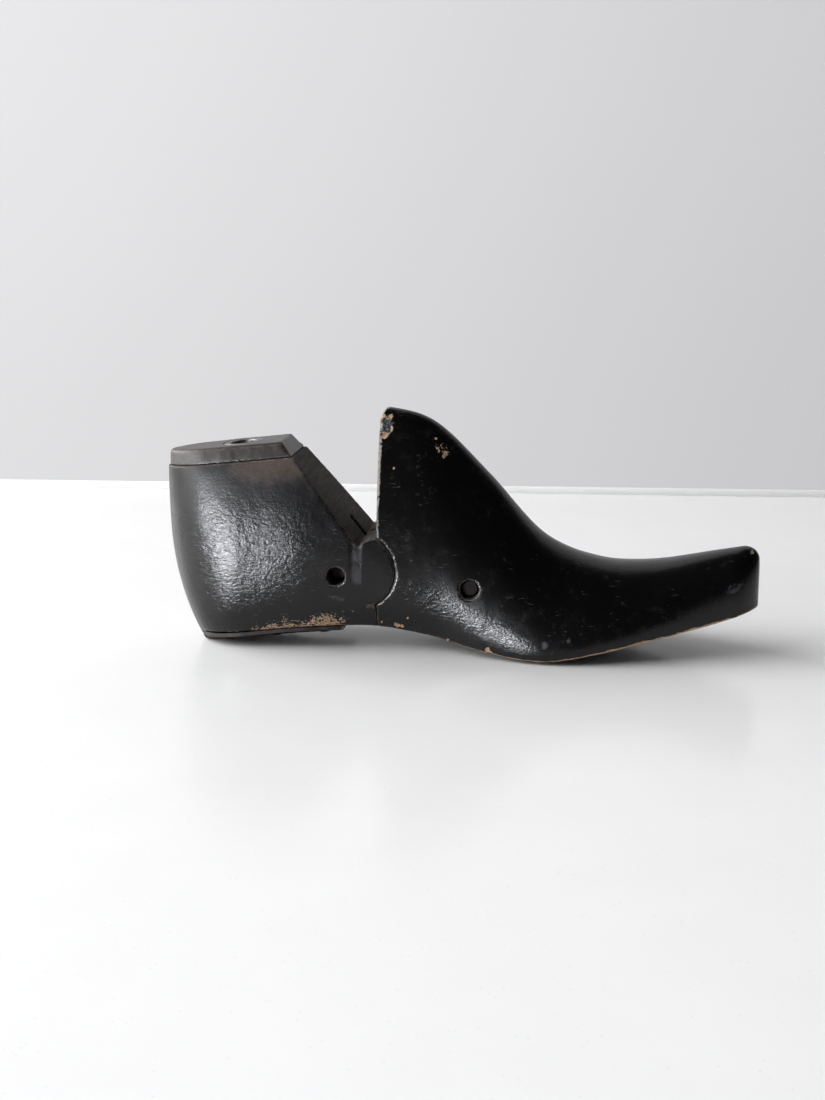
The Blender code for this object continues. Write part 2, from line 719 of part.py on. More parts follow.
def centre_on_origin(group, solids):
    """Move everything so that its box stands centred over the origin."""
    bpy.context.view_layer.update()
    points = [obj.matrix_world @ v.co for obj in solids for v in obj.data.vertices]
    low = [min(p[i] for p in points) for i in range(3)]
    high = [max(p[i] for p in points) for i in range(3)]
    shift = -Vector(((low[0] + high[0]) / 2, (low[1] + high[1]) / 2, low[2]))
    for obj in group.objects:
        if obj.parent is None:
            obj.location += shift
    return shift


def main():
    clear_scene()
    parts = new_collection("hinged_shoe_last")
    cutters = new_collection("cutters")
    mats = {
        "lacquer": material("black_lacquer", LACQUER, 0.32, 0.0),
        "bare": material("bare_maple", BARE_MAPLE, 0.75, 0.0),
        "steel": material("dull_steel", STEEL, 0.42, 1.0),
    }
    slot = build_slot(cutters)
    make_forepart(parts, cutters, mats, slot)
    heel_pieces = [
        make_heel_block(parts, cutters, mats, slot),
        make_top_plate(parts, cutters, mats),
        make_thimble(parts, mats),
        make_heel_plate(parts, cutters, mats),
        make_pin("rear_pin", REAR_PIN, REAR_PIN_ENDS, parts, mats),
        *make_nails(parts, mats),
    ]
    make_pin("front_pin", FRONT_PIN, FRONT_PIN_ENDS, parts, mats)
    link = make_link(parts, cutters, mats)
    solids = list(parts.objects)
    joint_empty("heel_fold_axis", (KNUCKLE_X, KNUCKLE_Z), parts, heel_pieces)
    joint_empty("link_swing_axis", FRONT_PIN, parts, [link])
    shift = centre_on_origin(parts, solids)
    for cutter in cutters.objects:
        cutter.location += shift
    bpy.context.view_layer.update()


main()
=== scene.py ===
"""Looks of the hinged shoe last: black lacquered wood, worn steel and soft window light.

The two wooden halves are lofted again here, from the same sections as the CAD but
finer, so that their edges can be worn round, chipped and crinkled. The other pieces
are the CAD nodes with better materials. Design lengths are millimetres in the last's
own frame: x from the back of the heel towards the toe, y across (-y is the inner
side), z up from the table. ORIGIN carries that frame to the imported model's frame.
"""
import json
import math

import bmesh
import bpy
import numpy as np
from mathutils import Matrix, Vector, kdtree, noise


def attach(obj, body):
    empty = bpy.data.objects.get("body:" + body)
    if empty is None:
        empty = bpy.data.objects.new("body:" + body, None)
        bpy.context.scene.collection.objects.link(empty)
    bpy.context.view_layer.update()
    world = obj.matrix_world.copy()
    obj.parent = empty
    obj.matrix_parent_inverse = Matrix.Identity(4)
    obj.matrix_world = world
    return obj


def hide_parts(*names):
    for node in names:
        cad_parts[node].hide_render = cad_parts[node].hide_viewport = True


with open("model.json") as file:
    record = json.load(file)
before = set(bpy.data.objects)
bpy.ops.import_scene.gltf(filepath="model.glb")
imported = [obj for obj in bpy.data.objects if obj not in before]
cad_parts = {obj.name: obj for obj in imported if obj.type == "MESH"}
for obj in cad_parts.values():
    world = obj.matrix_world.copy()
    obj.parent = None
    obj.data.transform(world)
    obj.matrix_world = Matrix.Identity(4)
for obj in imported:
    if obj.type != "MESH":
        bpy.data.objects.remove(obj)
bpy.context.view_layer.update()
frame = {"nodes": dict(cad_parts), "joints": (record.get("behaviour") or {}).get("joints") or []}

MM = 0.001
HINGE = next(j for j in frame["joints"] if j["name"] == "heel_fold")

# ---- shape of the last, the same as the CAD's --------------------------------
LENGTH = 243.0
HEEL_BACK = 0.7
HEEL_ROUND = 34.0
HEEL_ROUND_TOP = 17.0
TOE_ROUND_IN = 11.0
TOE_ROUND_OUT = 34.0
TOE_TIP_Y = -14.0
TOE_TOP_ROUND = 7.0
BACK_LEAN = 14.5
BACK_LEAN_TOP = 65.0
BACK_LEAN_POWER = 2.8
BACK_LEAN_FADE = 45.0
SOLE_FLAT = 8.0
SECTIONS = (
    #  x     sole  lift   in     out   sw_in sw_out  rise  top    side  round
    (0.0,    1.8,  2.8, -20.5,  20.5,  7.0,  7.0,  10.0,  99.0,  0.0, 16.0),
    (30.0,   3.4,  3.4, -21.5,  22.0,  9.0,  9.0,  11.0,  99.0,  0.0, 17.0),
    (60.0,   6.6,  3.4, -22.0,  24.0, 12.0, 11.0,  14.0,  99.0,  0.0, 17.0),
    (91.0,   8.3,  2.0, -20.5,  26.0, 16.0, 12.0,  17.0,  98.0,  0.0, 14.0),
    (112.0,  5.6,  1.8, -22.8,  29.0, 13.5, 10.0,  15.0,  92.4, -1.5, 13.0),
    (135.0,  1.5,  1.7, -31.0,  34.0,  6.5,  6.5,  10.0,  70.9, -3.0, 14.0),
    (157.0,  0.0,  1.4, -37.0,  36.5,  4.0,  4.5,   8.0,  47.2, -4.0, 17.0),
    (180.0,  2.9,  2.2, -36.2,  31.0,  3.5,  4.0,   8.0,  37.6, -5.5, 19.0),
    (202.0,  7.8,  2.3, -31.8,  20.5,  3.0,  3.5,   9.0,  37.3, -8.0, 17.0),
    (223.0, 13.2,  2.0, -26.8,   7.5,  2.5,  3.0,  12.0,  41.6, -11.0, 13.0),
    (243.0, 20.0,  1.0, -23.0,  -3.0,  2.0,  2.0,  12.0,  46.0, -14.0, 9.0),
)
KNUCKLE = (82.4, 34.0)
KNUCKLE_R = 15.5
SOCKET_R = 15.78
FACE_X = 90.4
PEAK_Z = 98.0
PEAK_ROUND = 4.8
KERF = 0.22
VEE_TOP = (40.2, 98.7)
KNUCKLE_TOP = ((83.4, 43.9), (85.0, 45.9), (87.2, 46.7), (91.4, 46.7))
RELIEF_DEPTH = 3.6
RELIEF_HEIGHT = 1.0
FRONT_PIN = (128.2, 28.0)
REAR_PIN = (74.0, 31.9)
PIN_HOLE_R = 3.8
SLOT_WIDTH = 3.8
SLOT_SAW = (79.0, 34.0, 18.0)       # x, z and radius of the heel block's slot
SLOT_FRONT = ((104.0, 20.0), (104.0, 60.0), (90.0, 60.0), (84.0, 47.0))
SLOT_LOW, SLOT_HIGH = 20.0, 45.0    # heights of the slot's back end
MORTISE = (86.0, 17.0, 50.0)        # back, bottom and top of the forepart's link mortise
LINK_EYE_R = 7.4
TOP_SLOPE = math.radians(5.8)
TOP_SEAT_Z = 72.9
THIMBLE_X = 33.0
THIMBLE_HOLE_R = 6.8
BORE_DEPTH = 46.0
ACROSS = 160.0                      # a length that reaches right through the last

# ---- fineness of the wooden halves -------------------------------------------
WALL_STEPS = 52
SOLE_STEPS = 26
END_GAP = 0.1            # how far inside each end the last ring lies
HEEL_CURVED = (61.9, 60)           # end and number of the rings that crowd to the back
HEEL_EVEN = (63.0, 102.0, 34)      # first, last and number of the even rings
FORE_EVEN = (84.0, 212.0, 108)
FORE_CURVED = (213.0, 40)          # start and number of the rings that crowd to the toe
VOXEL_HEEL = 0.60
VOXEL_FORE = 0.69
SMOOTH_ROUNDS = 3
PLATE_ROUNDS = 45        # smoothing passes that wear the top plate's upper rim round
NEAR = 0.32              # how close to a cut a vertex counts as lying on it

ORIGIN = Vector(HINGE["pos_m"]) - Vector((KNUCKLE[0], 0.0, KNUCKLE[1])) * MM
TO_FRAME = Matrix.Translation(ORIGIN) @ Matrix.Scale(MM, 4)


# ---- formulas of the surface ---------------------------------------------------
def section_row(x):
    """The section values at x, by a smooth curve through the rows."""
    rows = np.array(SECTIONS)
    xs = rows[:, 0]
    i = int(np.clip(np.searchsorted(xs, x) - 1, 0, len(xs) - 2))
    step = xs[i + 1] - xs[i]

    def slope(k):
        if k == 0:
            return (rows[1] - rows[0]) / (xs[1] - xs[0])
        if k == len(xs) - 1:
            return (rows[-1] - rows[-2]) / (xs[-1] - xs[-2])
        before = (rows[k] - rows[k - 1]) / (xs[k] - xs[k - 1])
        after = (rows[k + 1] - rows[k]) / (xs[k + 1] - xs[k])
        weight = (xs[k] - xs[k - 1]) / (xs[k + 1] - xs[k - 1])
        return before * (1.0 - weight) + after * weight

    t = (x - xs[i]) / step
    a = 2 * t**3 - 3 * t**2 + 1
    b = t**3 - 2 * t**2 + t
    c = -2 * t**3 + 3 * t**2
    d = t**3 - t**2
    return a * rows[i] + b * step * slope(i) + c * rows[i + 1] + d * step * slope(i + 1)


def end_round(u):
    """Quarter-circle rise from 0 to 1 as u goes from 0 to 1."""
    u = min(max(u, 0.0), 1.0)
    return math.sqrt(max(0.0, 1.0 - (1.0 - u) ** 2))


def closing(x):
    """Factors by which the inner and the outer side have closed in at x."""
    heel = end_round((x - HEEL_BACK) / HEEL_ROUND)
    inner = heel * end_round((LENGTH - x) / TOE_ROUND_IN)
    outer = heel * end_round((LENGTH - x) / TOE_ROUND_OUT)
    return inner, outer


def toe_middle(x):
    """Where the middle line has swung to towards the toe."""
    return TOE_TIP_Y * max(0.0, (x - 180.0) / (LENGTH - 180.0)) ** 1.5


def feather(x):
    """Side positions of the inner and outer feather edge at x."""
    row = section_row(x)
    middle = toe_middle(x)
    inner, outer = closing(x)
    return middle + (row[3] - middle) * inner, middle + (row[4] - middle) * outer


def sole_height(x, y):
    """Height of the wooden sole at x, y."""
    row = section_row(x)
    inner, outer = feather(x)
    half = max(abs(outer if y > 0 else inner), SOLE_FLAT + 4.0)
    rise = max(0.0, abs(y) - SOLE_FLAT) / (half - SOLE_FLAT)
    return row[1] + row[2] * rise**2


def back_lean(x, z):
    """How far a point of the heel lies in front of its section."""
    if x >= BACK_LEAN_FADE or z >= BACK_LEAN_TOP:
        return 0.0
    amount = (1.0 - max(z, 0.0) / BACK_LEAN_TOP) ** BACK_LEAN_POWER
    return BACK_LEAN * amount * (1.0 - x / BACK_LEAN_FADE) ** 2


def wall(x, side):
    """Points of one side wall from the feather edge up to the ridge."""
    row = section_row(x)
    inner, outer = closing(x)
    edge_in, edge_out = feather(x)
    toe_drop = TOE_TOP_ROUND * (1.0 - end_round((LENGTH - x) / TOE_TOP_ROUND))
    if side < 0:
        edge, swing, shut = edge_in, row[5], inner
    else:
        edge, swing, shut = edge_out, row[6], outer
    foot = np.array([edge, sole_height(x, edge)])
    middle = toe_middle(x)
    ridge = np.array([middle + (row[9] - middle) * shut, row[8] - toe_drop])
    from_back = x - HEEL_BACK
    top_shut = shut * end_round(from_back / HEEL_ROUND_TOP) / end_round(from_back / HEEL_ROUND)
    belly = foot + np.array([side * swing * shut, row[7]])
    shoulder = ridge + np.array([side * row[10] * top_shut, 0.0])
    t = np.linspace(0.0, 1.0, WALL_STEPS + 1)[:, None]
    s = 1.0 - t
    return s**3 * foot + 3 * s * s * t * belly + 3 * s * t * t * shoulder + t**3 * ridge


def ring(x):
    """One closed cross-section, starting at the ridge and going round by -Y."""
    inner_wall = wall(x, -1)
    outer_wall = wall(x, +1)
    yz = [tuple(p) for p in inner_wall[::-1]]
    for y in np.linspace(inner_wall[0][0], outer_wall[0][0], SOLE_STEPS + 1)[1:-1]:
        yz.append((y, sole_height(x, y)))
    yz.extend(tuple(p) for p in outer_wall[:-1])
    return [(x + back_lean(x, z), y, z) for y, z in yz]


# ---- making meshes ---------------------------------------------------------------
def new_object(name, bm):
    """Object from a bmesh, with its faces turned outwards."""
    bmesh.ops.recalc_face_normals(bm, faces=bm.faces)
    mesh = bpy.data.meshes.new(name)
    bm.to_mesh(mesh)
    bm.free()
    obj = bpy.data.objects.new(name, mesh)
    bpy.context.scene.collection.objects.link(obj)
    return obj


def freeze(obj):
    """Replace the object's mesh by what its modifiers make of it."""
    bpy.context.view_layer.update()
    graph = bpy.context.evaluated_depsgraph_get()
    mesh = bpy.data.meshes.new_from_object(obj.evaluated_get(graph))
    obj.modifiers.clear()
    old = obj.data
    obj.data = mesh
    bpy.data.meshes.remove(old)


def loft(name, xs):
    """Closed loft through the rings at xs."""
    bm = bmesh.new()
    rings = [[bm.verts.new(p) for p in ring(x)] for x in xs]
    count = len(rings[0])
    for low, high in zip(rings[:-1], rings[1:]):
        for j in range(count):
            k = (j + 1) % count
            bm.faces.new((low[j], low[k], high[k], high[j]))
    for end in (rings[0], rings[-1]):
        for j in range(WALL_STEPS - 1):
            quad = (end[j], end[j + 1], end[count - j - 1], end[(count - j) % count])
            bm.faces.new(tuple(dict.fromkeys(quad)))
        bm.faces.new(end[WALL_STEPS - 1:count - WALL_STEPS + 2])
    return new_object(name, bm)


def prism(outline, y0, y1):
    """Flat x-z outline thickened to reach from y0 to y1."""
    bm = bmesh.new()
    middle = (y0 + y1) / 2
    bm.faces.new([bm.verts.new((x, middle, z)) for x, z in outline])
    obj = new_object("cutter", bm)
    solid = obj.modifiers.new("thickness", "SOLIDIFY")
    solid.thickness = y1 - y0
    solid.offset = 0.0
    freeze(obj)
    return obj


def bar(radius, depth, matrix):
    """Round bar along its own Z axis, placed by matrix."""
    bm = bmesh.new()
    bmesh.ops.create_cone(bm, cap_ends=True, segments=48, radius1=radius, radius2=radius,
                          depth=depth, matrix=matrix)
    return new_object("cutter", bm)


def arc(x, z, radius, start, end, steps):
    """Points of an arc in the x-z plane, angles in degrees from +X towards +Z."""
    return [(x + radius * math.cos(math.radians(a)), z + radius * math.sin(math.radians(a)))
            for a in np.linspace(start, end, steps + 1)]


def cut(target, cutter, operation):
    """Cut target by cutter, or keep only what they share, and drop the cutter."""
    mod = target.modifiers.new("cut", "BOOLEAN")
    mod.operation = operation
    mod.solver = "EXACT"
    mod.object = cutter
    freeze(target)
    bpy.data.objects.remove(cutter)


def knuckle_angle(radius, offset):
    """Angle at which a circle about the knuckle meets the joint face."""
    return math.degrees(math.acos((FACE_X + offset - KNUCKLE[0]) / radius))


def fore_side():
    """Outline that covers everything in front of the cut."""
    half = knuckle_angle(SOCKET_R, 0.0)
    points = [(300.0, -30.0), (300.0, 140.0), (FACE_X + PEAK_ROUND, 140.0)]
    points += arc(FACE_X + PEAK_ROUND, PEAK_Z - PEAK_ROUND, PEAK_ROUND, 90.0, 180.0, 12)
    points += arc(*KNUCKLE, SOCKET_R, half, -half, 40)
    return points + [(FACE_X, 0.0), (FACE_X, -30.0)]


def heel_side():
    """Outline that covers the heel block with its knuckle."""
    half = knuckle_angle(KNUCKLE_R, -KERF)
    edge = FACE_X - KERF
    low = arc(*KNUCKLE, KNUCKLE_R, -half, half, 40)
    groove = low[0][1] - 0.2
    points = [(-30.0, -30.0), (edge, -30.0), (edge, groove - RELIEF_HEIGHT),
              (edge - RELIEF_DEPTH, groove - RELIEF_HEIGHT - 0.3), (edge - RELIEF_DEPTH, groove - 0.4)]
    points += low
    points += [p for p in KNUCKLE_TOP[::-1] if p[0] < low[-1][0] - 0.3]
    return points + [VEE_TOP, (-30.0, VEE_TOP[1])]


def top_frame():
    """Matrix whose x-y plane is the heel block's flat top."""
    return Matrix.Translation((0.0, 0.0, TOP_SEAT_Z)) @ Matrix.Rotation(-TOP_SLOPE, 4, "Y")


def across(x, z, radius):
    """Bar along Y through the point x, z."""
    place = Matrix.Translation((x, 0.0, z)) @ Matrix.Rotation(math.pi / 2, 4, "X")
    return bar(radius, ACROSS, place)


def exact_heel():
    """The heel block: loft, V cut and knuckle, flat top, slot, pin hole and bore."""
    end, count = HEEL_CURVED
    crowded = 1.0 - np.cos(np.linspace(0.0, math.pi / 2, count))
    xs = list(HEEL_BACK + END_GAP + (end - HEEL_BACK) * crowded)
    xs += list(np.linspace(*HEEL_EVEN))
    block = loft("heel_wood", xs)
    cut(block, prism(heel_side(), -ACROSS / 2, ACROSS / 2), "INTERSECT")
    bm = bmesh.new()
    bmesh.ops.create_cube(bm, size=1.0, matrix=top_frame() @ Matrix.Translation((50, 0, 50))
                          @ Matrix.Diagonal((300, 200, 100, 1)))
    cut(block, new_object("cutter", bm), "DIFFERENCE")
    half = SLOT_WIDTH / 2
    x, z, radius = SLOT_SAW
    cut(block, prism(arc(x, z, radius, 0.0, 360.0, 64)[:-1], -half, half), "DIFFERENCE")
    mouth = [(x, SLOT_LOW), *SLOT_FRONT, (x, SLOT_HIGH)]
    cut(block, prism(mouth, -half, half), "DIFFERENCE")
    cut(block, across(*REAR_PIN, PIN_HOLE_R), "DIFFERENCE")
    along = THIMBLE_X / math.cos(TOP_SLOPE)
    place = top_frame() @ Matrix.Translation((along, 0.0, 20.0 - BORE_DEPTH / 2))
    cut(block, bar(THIMBLE_HOLE_R, BORE_DEPTH, place), "DIFFERENCE")
    return block


def exact_fore():
    """The forepart: loft, flat face and socket, link mortise and pin hole."""
    start, count = FORE_CURVED
    crowded = np.sin(np.linspace(0.0, math.pi / 2, count))
    xs = list(np.linspace(*FORE_EVEN))
    xs += list(start + (LENGTH - END_GAP - start) * crowded)
    fore = loft("fore_wood", xs)
    cut(fore, prism(fore_side(), -ACROSS / 2, ACROSS / 2), "INTERSECT")
    back, bottom, top = MORTISE
    end = arc(*FRONT_PIN, LINK_EYE_R + 1.2, -90.0, 60.0, 20)
    mortise = [(back, bottom)] + end + [(back, top)]
    cut(fore, prism(mortise, -SLOT_WIDTH / 2, SLOT_WIDTH / 2), "DIFFERENCE")
    cut(fore, across(*FRONT_PIN, PIN_HOLE_R), "DIFFERENCE")
    return fore


def soften(obj, exact, voxel, rounds):
    """Even mesh whose edges are a little worn, drawn back onto the exact shape."""
    remesh = obj.modifiers.new("remesh", "REMESH")
    remesh.mode = "VOXEL"
    remesh.voxel_size = voxel
    remesh.adaptivity = 0.0
    remesh.use_smooth_shade = True
    smooth = obj.modifiers.new("smooth", "SMOOTH")
    smooth.factor = 0.5
    smooth.iterations = rounds
    snap = obj.modifiers.new("snap", "SHRINKWRAP")
    snap.target = exact
    snap.wrap_method = "NEAREST_SURFACEPOINT"
    last = obj.modifiers.new("last", "SMOOTH")
    last.factor = 0.5
    last.iterations = 1
    freeze(obj)


def coordinates(mesh):
    points = np.zeros(len(mesh.vertices) * 3)
    mesh.vertices.foreach_get("co", points)
    return points.reshape(-1, 3)


def normals_of(mesh):
    normals = np.zeros(len(mesh.vertices) * 3)
    mesh.vertices.foreach_get("normal", normals)
    return normals.reshape(-1, 3)


def store(mesh, name, values):
    """Keep one number per vertex for the materials to read."""
    layer = mesh.attributes.new(name, "FLOAT", "POINT")
    layer.data.foreach_set("value", np.asarray(values, np.float32))


def smoothstep(low, high, value):
    t = np.clip((value - low) / (high - low), 0.0, 1.0)
    return t * t * (3.0 - 2.0 * t)


def nearest(points, curve, reach):
    """Distance from each point to the nearest point of the curve, at most reach."""
    tree = kdtree.KDTree(len(curve))
    for i, p in enumerate(curve):
        tree.insert(p, i)
    tree.balance()
    return np.array([min(tree.find(p)[2], reach) for p in points])


def feather_line():
    """Points close together along both feather edges."""
    line = []
    for x in np.arange(1.5, LENGTH - 0.2, 0.4):
        for y in feather(x):
            z = sole_height(x, y)
            line.append((x + back_lean(x, z), y, z))
    return line


def bumps(points, size, seed):
    """Smooth noise from about -1 to 1 with features of that size."""
    shift = Vector((seed * 17.3, seed * 5.1, -seed * 9.7))
    return np.array([noise.noise(Vector(p) / size + shift) for p in points])


# ---- wear and painted highlights, as numbers on the vertices -----------------------
# Chips knocked out of the lacquer and the wood: half, place (x, side, z), radius and depth.
CHIPS = (
    ("fore", 91.2, -1, 94.6, 1.2, 0.35),
    ("fore", 94.6, -1, 94.4, 0.9, 0.30),
    ("fore", 92.6, -1, 87.0, 1.3, 0.30),
    ("fore", 96.9, -1, 74.9, 0.5, 0.20),
    ("fore", 113.3, -1, 85.8, 0.5, 0.20),
    ("fore", 98.4, -1, 11.2, 1.1, 0.35),
    ("fore", 100.3, -1, 11.0, 0.8, 0.30),
    ("fore", 92.3, -1, 12.4, 0.6, 0.25),
    ("fore", 103.0, -1, 15.1, 0.55, 0.25),
    ("fore", 119.5, -1, 6.6, 0.6, 0.25),
    ("fore", 135.6, -1, 4.6, 1.1, 0.35),
    ("fore", 137.0, -1, 3.2, 0.9, 0.30),
    ("fore", 239.6, -1, 43.0, 0.7, 0.25),
    ("fore", 150.0, 1, 3.5, 1.9, 0.40),
    ("fore", 176.0, 1, 6.0, 1.4, 0.30),
    ("fore", 205.0, 1, 12.0, 1.3, 0.30),
    ("fore", 100.5, 1, 88.0, 1.0, 0.30),
    ("heel", 56.0, 1, 71.0, 1.1, 0.30),
    ("heel", 20.0, 1, 12.0, 1.3, 0.30),
)
# Rubbed light spots: half, place (x, side, z), half length, half height and tilt in degrees.
SCUFFS = (
    ("fore", 232.0, -1, 30.0, 3.6, 1.6, 25.0),
    ("fore", 158.6, -1, 8.2, 1.0, 1.5, 0.0),
    ("fore", 168.0, -1, 10.5, 0.9, 1.1, 0.0),
    ("heel", 74.0, -1, 23.0, 3.4, 0.7, -12.0),
    ("heel", 46.0, -1, 57.0, 2.6, 0.4, -4.0),
    ("heel", 50.0, -1, 48.0, 4.5, 0.5, 24.0),
    ("heel", 64.0, 1, 40.0, 4.5, 0.7, -15.0),
    ("fore", 140.0, 1, 30.0, 4.0, 0.8, 20.0),
)
# The heel block's planed flat beside the knuckle: from x to x, from z to z, and its depth. Its lighter
# grey is a painted highlight, stored with the scuffs.
PLANED = (80.2, 84.8, 29.0, 45.5, 0.22)
PEELED = (92.9, 90.8, 2.6, 3.4)     # x, z and half sizes of the spot where the film has peeled


def outline_distance(points, outline):
    """Distance in the x-z plane from each point to the closed outline."""
    place = points[:, (0, 2)]
    best = np.full(len(points), 1000.0)
    for start, end in zip(outline, outline[1:] + outline[:1]):
        along = np.subtract(end, start)
        share = np.clip((place - start) @ along / (along @ along), 0.0, 1.0)
        away = place - start - share[:, None] * along
        best = np.minimum(best, np.hypot(away[:, 0], away[:, 1]))
    return best


def cut_surfaces(points, half):
    """Which points lie on a sawn or bored face, and how far each one is from its rim."""
    x, y, z = points.T
    pin, outline = (FRONT_PIN, fore_side()) if half == "fore" else (REAR_PIN, heel_side())
    hole = np.hypot(x - pin[0], z - pin[1]) - PIN_HOLE_R
    face = outline_distance(points, outline)
    to_rim = np.minimum(face, np.abs(hole))
    in_slot = np.abs(y) < SLOT_WIDTH / 2 + NEAR
    if half == "fore":
        sawn = (face < NEAR) & (z < PEAK_Z - PEAK_ROUND + 0.5)
        sawn |= in_slot & (x < FRONT_PIN[0] + LINK_EYE_R + 2.0) & (z > 16.0) & (z < 51.0)
        return sawn | (hole < NEAR), to_rim
    seat = np.abs((z - TOP_SEAT_Z) * math.cos(TOP_SLOPE) - x * math.sin(TOP_SLOPE))
    sawn = (face < NEAR) | (seat < NEAR) | (hole < NEAR)
    sawn |= in_slot & (np.hypot(x - SLOT_SAW[0], z - SLOT_SAW[1]) < SLOT_SAW[2] + 1.0)
    sawn |= (np.hypot(x - THIMBLE_X, y) < THIMBLE_HOLE_R + 0.8) & (z > 12.0)
    return sawn, np.minimum(to_rim, seat)


def patch(points, x, side, z, length, height, tilt):
    """Distance from an ellipse's middle, 1 at its rim, on one side of the last."""
    a = math.radians(tilt)
    u, v = points[:, 0] - x, points[:, 2] - z
    along, over = u * math.cos(a) + v * math.sin(a), v * math.cos(a) - u * math.sin(a)
    return np.hypot(along / length, over / height) + np.where(points[:, 1] * side > 0, 0.0, 50.0)


def ragged_spot(points, away, grain, seed):
    """1 inside away < 1, 0 outside, with an uneven border."""
    spot = np.zeros(len(points))
    near = np.flatnonzero(away < 1.9)
    uneven = away[near] + 0.45 * bumps(points[near], grain, seed)
    spot[near] = smoothstep(1.15, 0.75, uneven)
    return spot


def wear_out(obj, half):
    """Dents, chips, the wear maps and the painted highlight maps of one wooden half."""
    mesh = obj.data
    points = coordinates(mesh)
    normals = normals_of(mesh)
    sawn, to_rim = cut_surfaces(points, half)
    to_feather = nearest(points, feather_line(), 14.0)
    x, y, z = points.T
    near_side = y < 0

    chip = np.zeros(len(points))
    move = 0.09 * bumps(points, 13.0, 1) + 0.035 * bumps(points, 5.0, 2)
    move = np.where(sawn, -0.03 * (1.0 + bumps(points, 3.0, 3)), move * smoothstep(0.3, 2.5, to_rim))
    for which, px, side, pz, radius, depth in CHIPS:
        if which == half:
            away = patch(points, px, side, pz, radius, radius, 0.0)
            spot = ragged_spot(points, away, radius * 0.55, 4)
            chip = np.maximum(chip, spot)
            move -= spot * depth
    scuff_and_facet_sheen = np.zeros(len(points))
    for which, px, side, pz, length, height, tilt in SCUFFS:
        if which == half:
            away = patch(points, px, side, pz, length, height, tilt)
            scuff_and_facet_sheen = np.maximum(scuff_and_facet_sheen, ragged_spot(points, away, 1.5, 9))
    peeled = np.zeros(len(points))
    planed = np.zeros(len(points))
    if half == "fore":
        away = patch(points, PEELED[0], -1, PEELED[1], PEELED[2], PEELED[3], 0.0)
        peeled = ragged_spot(points, away, 1.6, 5)
        move -= 0.18 * peeled
    else:
        x0, x1, z0, z1, depth = PLANED
        planed = smoothstep(x0 - 0.4, x0 + 0.2, x) * smoothstep(x1 + 0.3, x1 - 0.5, x)
        planed *= smoothstep(z0 - 1.5, z0 + 2.0, z) * smoothstep(z1 + 0.8, z1 - 0.4, z) * near_side
        planed = np.where(sawn, 0.0, planed)
        move -= planed * depth * np.clip((x1 + 0.6 - x) / (x1 - x0), 0.0, 1.0)
    nibble = smoothstep(0.2, 0.65, bumps(points, 4.5, 6)) * smoothstep(1.4, 0.2, to_feather)
    nibble = np.where(sawn, 0.0, nibble) * (1.0 if half == "fore" else 0.1)
    move -= 0.22 * nibble
    points += normals * move[:, None]
    mesh.vertices.foreach_set("co", points.ravel())
    mesh.update()
    store(mesh, "sawn", sawn)
    store(mesh, "to_rim", to_rim)
    store(mesh, "to_feather", to_feather)
    store(mesh, "chip", np.maximum(chip, nibble * 0.8))
    # The planed flat goes in at 0.4 as a painted highlight: a lighter grey for the light it catches.
    store(mesh, "scuff_and_facet_sheen", np.maximum(scuff_and_facet_sheen, planed * 0.4))
    store(mesh, "peeled", peeled)
    store_wear_and_glint_widths(mesh, half, x, z)
    store_zones(mesh, half, points)


def store_zones(mesh, half, points):
    """Where the lacquer is rubbed brown, flaked off, dull or crinkled."""
    x, z = points[:, 0], points[:, 2]
    below_seat = (TOP_SEAT_Z + np.tan(TOP_SLOPE) * x - z) * math.cos(TOP_SLOPE)
    rub = smoothstep(17.0, 1.0, below_seat) * smoothstep(12.0, 44.0, x)
    store(mesh, "rubbed", rub if half == "heel" else np.zeros(len(points)))
    top = 12.5 + 0.18 * (x - 42.0)
    specks = smoothstep(top + 1.5, top - 4.5, z)
    specks *= smoothstep(32.0, 46.0, x) * smoothstep(86.0, 70.0, x)
    flakes = 0.8 * smoothstep(1.0, 0.4, patch(points, 116.0, -1, 81.4, 5.0, 3.4, -30.0))
    store(mesh, "flaked", specks if half == "heel" else flakes)
    dull = smoothstep(42.0, 60.0, z) * smoothstep(70.0, 50.0, x)
    store(mesh, "dulled", dull if half == "heel" else np.zeros(len(points)))
    heel_zone = smoothstep(82.0, 45.0, x) * smoothstep(76.0, 45.0, z) * smoothstep(4.0, 20.0, z)
    line = 25.0 - 0.42 * (x - 104.0)
    waist = smoothstep(11.0, 3.0, np.abs(z - line))
    waist *= smoothstep(94.0, 104.0, x) * smoothstep(165.0, 145.0, x)
    store(mesh, "crinkled", np.maximum(np.maximum(heel_zone, waist), 0.25))


def store_wear_and_glint_widths(mesh, half, x, z):
    """How wide the light line is along the nearest rim, a worn edge painted lighter as a highlight, and
    how wide the bare strip is along the feather edge.
    """
    pin = FRONT_PIN if half == "fore" else REAR_PIN
    hole = np.hypot(x - pin[0], z - pin[1]) < PIN_HOLE_R + 3.0
    if half == "fore":
        at_socket = np.hypot(x - KNUCKLE[0], z - KNUCKLE[1]) < SOCKET_R + 2.5
        upper_face = smoothstep(56.0, 66.0, z) * smoothstep(99.0, 90.0, z)
        rim = np.where(at_socket, 0.23, 0.30 + 0.95 * upper_face)
        foot = np.interp(x, (95.0, 112.0, 140.0, 172.0, 190.0, 215.0, 240.0),
                         (0.10, 0.22, 0.45, 0.60, 1.10, 0.95, 0.45))
    else:
        seam = np.abs((z - TOP_SEAT_Z) * math.cos(TOP_SLOPE) - x * math.sin(TOP_SLOPE)) < 2.0
        rim = 0.06 + 0.24 * seam * smoothstep(26.0, 40.0, x)
        foot = np.full(len(x), 0.12)
    store(mesh, "rim_wear_and_glint", np.where(hole, 0.30, rim))
    store(mesh, "worn_foot", foot)


